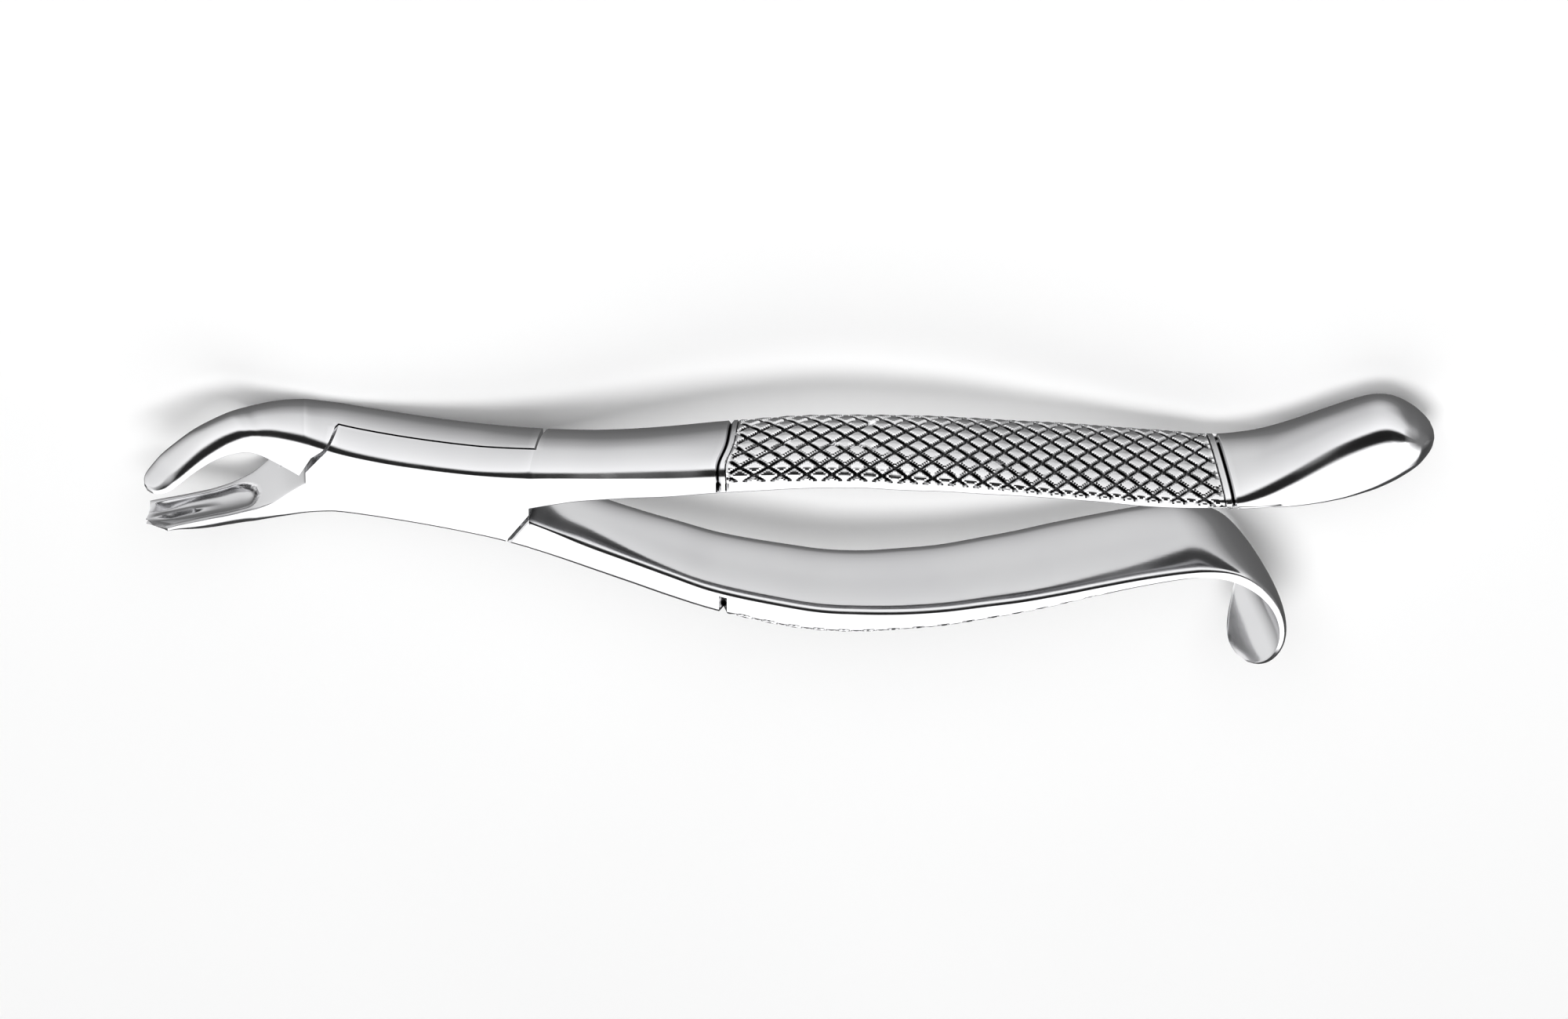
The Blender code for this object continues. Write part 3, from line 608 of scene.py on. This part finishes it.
def make_hook_half():
    """The half with the finger hook and the plain beak, cut down to the lap between its shoulders."""
    half = loft("hook_half", (
        beak_rings(1, PLAIN_BEAK, 0.0, PLAIN_GOUGE_END)
        + joint_rings(1)
        + handle_rings(1, HOOK_HANDLE, hook_place, HOOK_GRIP, HOOK_COLLARS, 0.0, 0.0)
    ))
    over_lap = [
        throat_off, (CUT_LEFT, throat_off.y), (CUT_LEFT, -CUT_SIDE), (crotch_low_off.x, -CUT_SIDE),
        crotch_low_off, crotch_off, (CUT_RIGHT, crotch_off.y), (CUT_RIGHT, CUT_SIDE),
        (throat_top_off.x, CUT_SIDE), throat_top_off,
    ]
    lap = LAP_Z - LAP_GAP / 2
    head_top = HEAD_Z + SCREW_HEAD_DEPTH + SCREW_CLEARANCE
    cut_all(half, [
        prism("lap", over_lap, lap, CUT_OVER),
        prism("head", disc(SCREW_HEAD_RADIUS + SCREW_CLEARANCE), CUT_UNDER, head_top),
        prism("shank", disc(SCREW_SHANK_RADIUS + SCREW_CLEARANCE), CUT_UNDER, CUT_PAST_LAP),
        prism("relief", relief(throat_off, throat_top_off), lap, CUT_OVER),
        bevel(crotch_off, crotch_low_off, CROTCH_BEVEL),
    ])
    finish_mesh(half, PLAIN_CREASE, KNURL_CREASE, HOOK_KNURL_X)
    return half


def make_screw():
    """The shoulder screw: slotted round head, plain shank and thread end."""
    shoulder_z, end_z = THREAD_Z - SCREW_CLEARANCE, THREAD_Z + SCREW_THREAD_LENGTH
    screw = lathe("shoulder_screw", (
        [(SCREW_HEAD_RADIUS - inset, HEAD_Z + height) for inset, height in SCREW_HEAD_CROWN]
        + [
            (SCREW_HEAD_RADIUS, HEAD_Z + SCREW_HEAD_DEPTH),
            (SCREW_SHANK_RADIUS, HEAD_Z + SCREW_HEAD_DEPTH),
            (SCREW_SHANK_RADIUS, shoulder_z),
            (SCREW_THREAD_RADIUS, shoulder_z),
            (SCREW_THREAD_RADIUS, end_z - SCREW_END_CHAMFER),
            (SCREW_THREAD_RADIUS - SCREW_END_CHAMFER, end_z),
        ]
    ))
    x, y = SCREW_SLOT_LENGTH / 2, SCREW_SLOT_WIDTH / 2
    slot = [(-x, -y), (x, -y), (x, y), (-x, y)]
    cut_all(screw, [prism("slot", slot, CUT_UNDER, HEAD_Z + SCREW_SLOT_DEPTH)])
    finish_mesh(screw, SCREW_CREASE)
    return screw


# ---------------------------------------------------------------- materials
def new_material(name):
    material = bpy.data.materials.new(name)
    material.use_nodes = True
    return material, material.node_tree, material.node_tree.nodes["Principled BSDF"]


def ramp(tree, source, stops):
    """Colours or greys at places from 0 to 1 of the source."""
    made = tree.nodes.new("ShaderNodeValToRGB")
    elements = made.color_ramp.elements
    while len(elements) > 1:
        elements.remove(elements[-1])
    for i, (position, value) in enumerate(stops):
        element = elements[0] if i == 0 else elements.new(position)
        element.position = position
        element.color = (*value, 1.0) if isinstance(value, tuple) else (value, value, value, 1.0)
    tree.links.new(source, made.inputs["Fac"])
    return made.outputs["Color"]


def mix(tree, first, second, factor, blend="MIX"):
    made = tree.nodes.new("ShaderNodeMix")
    made.data_type, made.blend_type = "RGBA", blend
    if isinstance(factor, float):
        made.inputs["Factor"].default_value = factor
    else:
        tree.links.new(factor, made.inputs["Factor"])
    tree.links.new(first, made.inputs["A"])
    tree.links.new(second, made.inputs["B"])
    return made.outputs["Result"]


def noise(tree, vector, scale, detail):
    made = tree.nodes.new("ShaderNodeTexNoise")
    made.inputs["Scale"].default_value = scale
    made.inputs["Detail"].default_value = detail
    tree.links.new(vector, made.inputs["Vector"])
    return made.outputs["Fac"]


def mapping(tree, vector, **settings):
    made = tree.nodes.new("ShaderNodeMapping")
    for name, value in settings.items():
        made.inputs[name].default_value = value
    tree.links.new(vector, made.inputs["Vector"])
    return made.outputs["Vector"]


def steel(name, light, dark, roughness, grain, seed):
    """Polished steel: faint cloudy tint, fine lengthwise polishing lines, brighter worn edges, and painted
    shade that darkens the grooves to black.
    """
    material, tree, shader = new_material(name)
    shader.inputs["Metallic"].default_value = 1.0
    coords = tree.nodes.new("ShaderNodeTexCoord").outputs["Object"]
    moved = mapping(tree, coords, Location=(seed, seed * 0.37, 0.0))

    tint = ramp(tree, noise(tree, moved, scale=55.0, detail=4.0), [(0.35, dark), (0.65, light)])
    # Painted shade: the base colour goes down to black in the knurl grooves and creases, where shade falls.
    # The edges that stand out stay brightest, as wear.
    edge = tree.nodes.new("ShaderNodeNewGeometry").outputs["Pointiness"]
    wear_and_groove_shade = ramp(tree, edge, [(0.46, 0.0), (0.491, 0.72), (0.51, 0.80), (0.60, 1.0)])
    tree.links.new(mix(tree, tint, wear_and_groove_shade, 1.0, blend="MULTIPLY"), shader.inputs["Base Color"])

    rough = tree.nodes.new("ShaderNodeMapRange")
    rough.inputs["From Min"].default_value = 0.3
    rough.inputs["From Max"].default_value = 0.7
    rough.inputs["To Min"].default_value = roughness * 0.8
    rough.inputs["To Max"].default_value = roughness * 1.3
    tree.links.new(noise(tree, moved, scale=140.0, detail=6.0), rough.inputs["Value"])
    tree.links.new(rough.outputs["Result"], shader.inputs["Roughness"])

    lengthwise = mapping(tree, moved, Rotation=(0.0, 0.0, 0.04), Scale=(0.05, 1.0, 1.0))
    bump = tree.nodes.new("ShaderNodeBump")
    bump.inputs["Strength"].default_value = grain
    bump.inputs["Distance"].default_value = 0.00002
    tree.links.new(noise(tree, lengthwise, scale=5200.0, detail=3.0), bump.inputs["Height"])
    tree.links.new(bump.outputs["Normal"], shader.inputs["Normal"])
    return material


def pale_floor():
    """Matt white ground, with faint patches."""
    material, tree, shader = new_material("pale_floor")
    shader.inputs["Roughness"].default_value = 0.85
    shader.inputs["Specular IOR Level"].default_value = 0.15
    coords = tree.nodes.new("ShaderNodeTexCoord").outputs["Object"]
    patches = ramp(tree, noise(tree, coords, scale=9.0, detail=2.0), [(0.3, 0.955), (0.7, 0.975)])
    tree.links.new(patches, shader.inputs["Base Color"])
    return material


HALF_STEEL = {"light": (0.80, 0.80, 0.81), "dark": (0.76, 0.76, 0.775), "roughness": 0.13, "grain": 0.10}
SCREW_STEEL = {"light": (0.70, 0.70, 0.72), "dark": (0.64, 0.64, 0.66), "roughness": 0.2, "grain": 0.18}

pieces = [
    (make_palm_half(), "front_body", "front_half", "front_steel",
     steel("polished_steel_palm", **HALF_STEEL, seed=0.0)),
    (make_hook_half(), "rear_body", "rear_half", "rear_steel",
     steel("polished_steel_hook", **HALF_STEEL, seed=3.0)),
    (make_screw(), "front_body", "pivot_screw", "screw_steel",
     steel("screw_steel_turned", **SCREW_STEEL, seed=7.0)),
]
for piece, body, cad_node, slot, material in pieces:
    piece.data.materials.clear()
    piece.data.materials.append(material)
    for polygon in piece.data.polygons:
        polygon.material_index = 0
    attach(piece, body)
    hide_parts(cad_node)

# ---------------------------------------------------------------- floor
FLOOR_HALF, FLOOR_GAP = 1.5, 0.0002
corners = [(-1, -1), (1, -1), (1, 1), (-1, 1)]
floor = mesh_object("floor", [(x * FLOOR_HALF, y * FLOOR_HALF, 0.0) for x, y in corners], [(0, 1, 2, 3)])
floor.location.z = cad_box[0].z - FLOOR_GAP
floor.data.materials.append(pale_floor())
floor.visible_glossy = False

# ---------------------------------------------------------------- surroundings, lamps and camera
scene = bpy.context.scene
scene.view_settings.view_transform = "Standard"

SCREEN_STRENGTH = 2.0
# Brightness round the object's length, by degrees from straight up, positive on the camera's side: a
# bright screen over the top and the far side, a dark gap about the camera, a paler screen below it.
SCREENS = [
    (-180, 0.10), (-130, 0.06), (-72, 0.03), (-64, 1.0), (20, 1.0), (30, 0.01), (68, 0.01),
    (77, 0.80), (112, 0.62), (130, 0.52), (143, 0.34), (160, 0.14), (180, 0.10),
]
# From beyond the beaks, 0, to beyond the handles, 1: how much the end screens show, and how bright.
END_SHARE = [(0.025, 1.0), (0.225, 0.0), (0.94, 0.0), (0.995, 1.0)]
END_SCREENS = [(0.3, 0.62), (0.7, 0.14)]


def studio():
    """Surroundings of bright and dark screens, for the steel to mirror."""
    world = bpy.data.worlds.new("studio")
    world.use_nodes = True
    tree = world.node_tree
    way = tree.nodes.new("ShaderNodeSeparateXYZ")
    tree.links.new(tree.nodes.new("ShaderNodeTexCoord").outputs["Generated"], way.inputs["Vector"])

    turn = tree.nodes.new("ShaderNodeMath")
    turn.operation = "ARCTAN2"
    tree.links.new(way.outputs["Y"], turn.inputs[0])
    tree.links.new(way.outputs["Z"], turn.inputs[1])
    turned = tree.nodes.new("ShaderNodeMapRange")
    turned.inputs["From Min"].default_value = -math.pi
    turned.inputs["From Max"].default_value = math.pi
    tree.links.new(turn.outputs[0], turned.inputs["Value"])
    screens = ramp(tree, turned.outputs["Result"], [((angle + 180) / 360, value) for angle, value in SCREENS])

    lengthwise = tree.nodes.new("ShaderNodeMapRange")
    lengthwise.inputs["From Min"].default_value = -1.0
    tree.links.new(way.outputs["X"], lengthwise.inputs["Value"])
    share = ramp(tree, lengthwise.outputs["Result"], END_SHARE)
    ends = ramp(tree, lengthwise.outputs["Result"], END_SCREENS)

    background = tree.nodes["Background"]
    background.inputs["Strength"].default_value = SCREEN_STRENGTH
    tree.links.new(mix(tree, screens, ends, share), background.inputs["Color"])
    return world


def softbox(name, place, size, energy):
    """A round diffuse lamp over the floor, aimed at the object. It isn't mirrored in the steel."""
    data = bpy.data.lights.new(name, "AREA")
    data.shape, data.size, data.energy = "DISK", size, energy
    lamp = bpy.data.objects.new(name, data)
    lamp.location = place
    lamp.rotation_euler = Vector(place).to_track_quat("Z", "Y").to_euler()
    lamp.visible_glossy = False
    scene.collection.objects.link(lamp)


scene.world = studio()
# The screens are mirrored, but they light no matt surface.
scene.world.cycles_visibility.diffuse = False
softbox("softbox_over", (0.0, 0.45, 1.6), size=0.9, energy=17.0)
softbox("softbox_camera", (0.0, 1.6, 1.3), size=1.6, energy=22.0)
softbox("softbox_far", (0.0, -1.2, 1.4), size=2.0, energy=10.0)

# Camera: its image axes, the width it sees, and the point it looks at beside the pivot.
LENS, SENSOR, SEEN_WIDTH = 300.0, 36.0, 0.2172
AIM_RIGHT, AIM_DOWN = 0.05104, 0.00570
image_right = Vector((0.99948, 0.0, -0.03228)).normalized()
to_camera = Vector((0.02076, 0.766, 0.6427))
to_camera = (to_camera - image_right * to_camera.dot(image_right)).normalized()
image_up = to_camera.cross(image_right)
aim = pivot + image_right * AIM_RIGHT - image_up * AIM_DOWN
camera_data = bpy.data.cameras.new("camera")
camera_data.lens, camera_data.sensor_width = LENS, SENSOR
camera_data.clip_end = 100.0
camera = bpy.data.objects.new("camera", camera_data)
distance = SEEN_WIDTH * LENS / SENSOR
axes = Matrix((image_right, image_up, to_camera)).transposed()
camera.matrix_world = Matrix.Translation(aim + to_camera * distance) @ axes.to_4x4()
scene.collection.objects.link(camera)
scene.camera = camera
